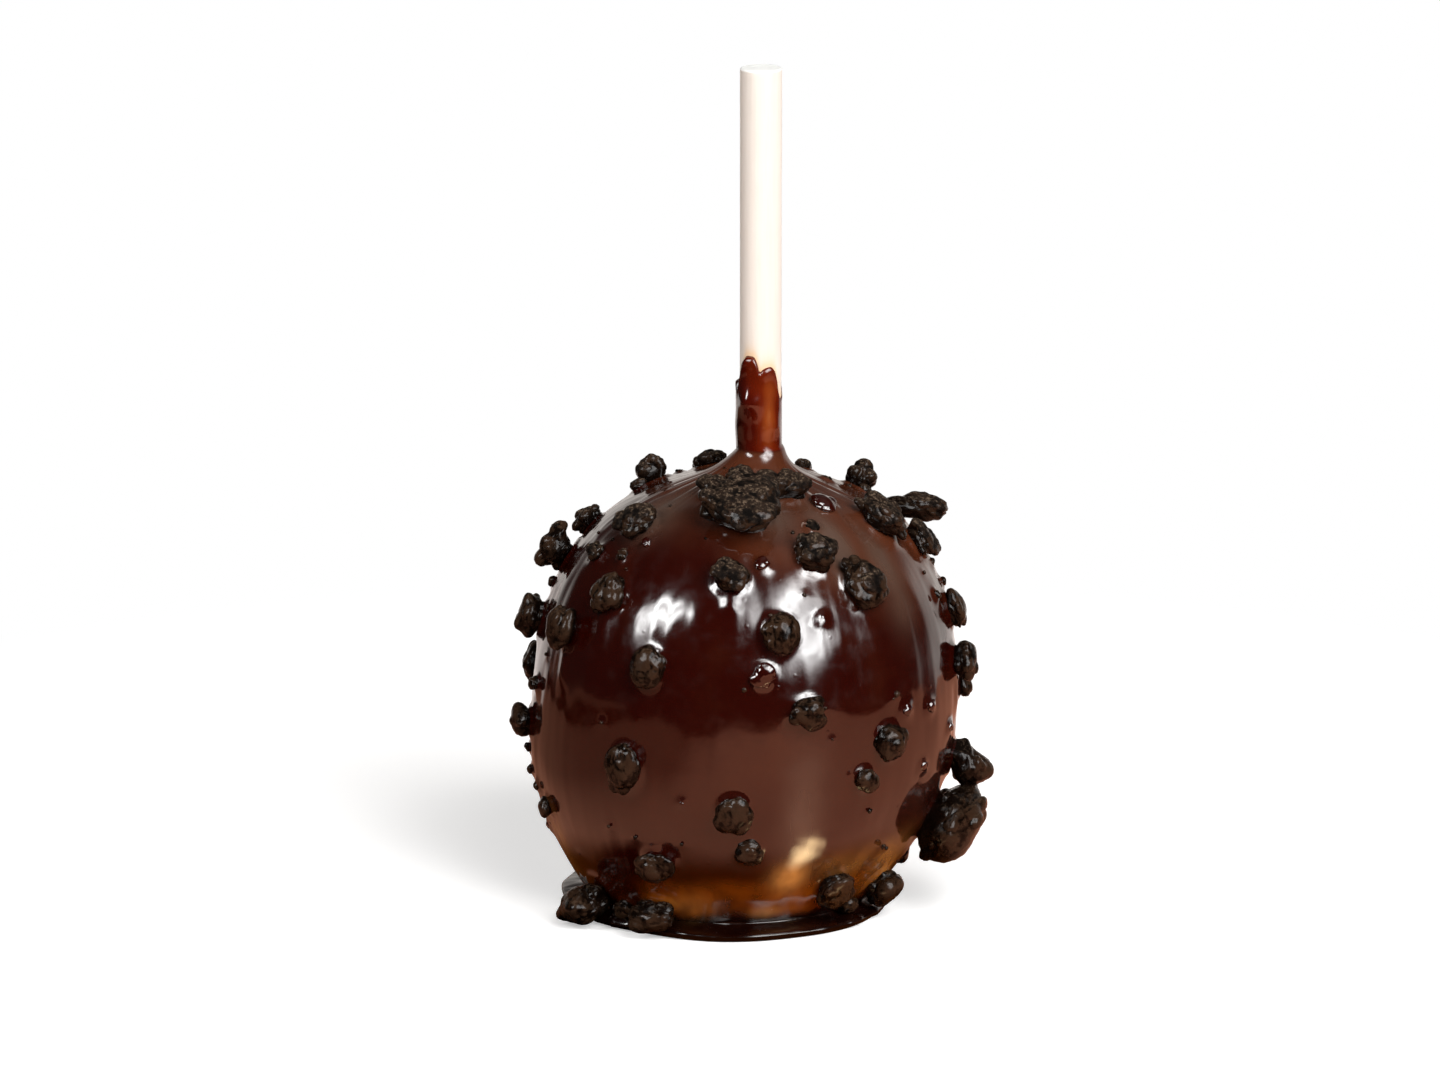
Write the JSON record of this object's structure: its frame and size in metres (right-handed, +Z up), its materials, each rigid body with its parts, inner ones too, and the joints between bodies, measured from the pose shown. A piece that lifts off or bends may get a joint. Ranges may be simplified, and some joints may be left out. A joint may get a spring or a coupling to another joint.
{
  "type": "candy apple on a stick",
  "caption": "Small candy apple standing on its flat foot: a ball in dark glossy toffee glaze, studded with broken chocolate cookie, on an upright white paper stick.",
  "frame": {"origin": "centre of the flat foot, on the surface that it stands on", "axes": "+Z up along the stick, -Y the front, +X to the right seen from the front"},
  "size_m": [0.0696, 0.0663, 0.1213],
  "materials": {
    "glaze": "clear glossy dark brown toffee glaze",
    "paper": "matte creamy white rolled paper",
    "cookie": "broken dark chocolate cookie, partly glazed"
  },
  "bodies": {
    "root": {"glazed_ball": "glaze", "paper_stick": "paper", "cookie_01": "cookie", "cookie_02": "cookie", "cookie_03": "cookie", "cookie_04": "cookie", "cookie_05": "cookie", "cookie_06": "cookie", "cookie_07": "cookie", "cookie_08": "cookie", "cookie_09": "cookie", "cookie_10": "cookie", "cookie_11": "cookie", "cookie_12": "cookie", "cookie_13": "cookie", "cookie_14": "cookie", "cookie_15": "cookie", "cookie_16": "cookie", "cookie_17": "cookie", "cookie_18": "cookie", "cookie_19": "cookie", "cookie_20": "cookie", "cookie_21": "cookie", "cookie_22": "cookie", "cookie_23": "cookie", "cookie_24": "cookie", "cookie_25": "cookie", "cookie_26": "cookie", "cookie_27": "cookie", "cookie_28": "cookie", "cookie_29": "cookie", "cookie_30": "cookie", "cookie_31": "cookie", "cookie_32": "cookie", "cookie_33": "cookie", "cookie_34": "cookie", "cookie_35": "cookie", "cookie_36": "cookie", "cookie_37": "cookie", "cookie_38": "cookie", "cookie_39": "cookie", "cookie_40": "cookie", "cookie_41": "cookie", "cookie_42": "cookie", "cookie_43": "cookie", "cookie_44": "cookie", "cookie_45": "cookie", "cookie_46": "cookie", "cookie_47": "cookie", "cookie_48": "cookie", "cookie_49": "cookie", "cookie_50": "cookie", "cookie_51": "cookie"}
  },
  "joints": []
}
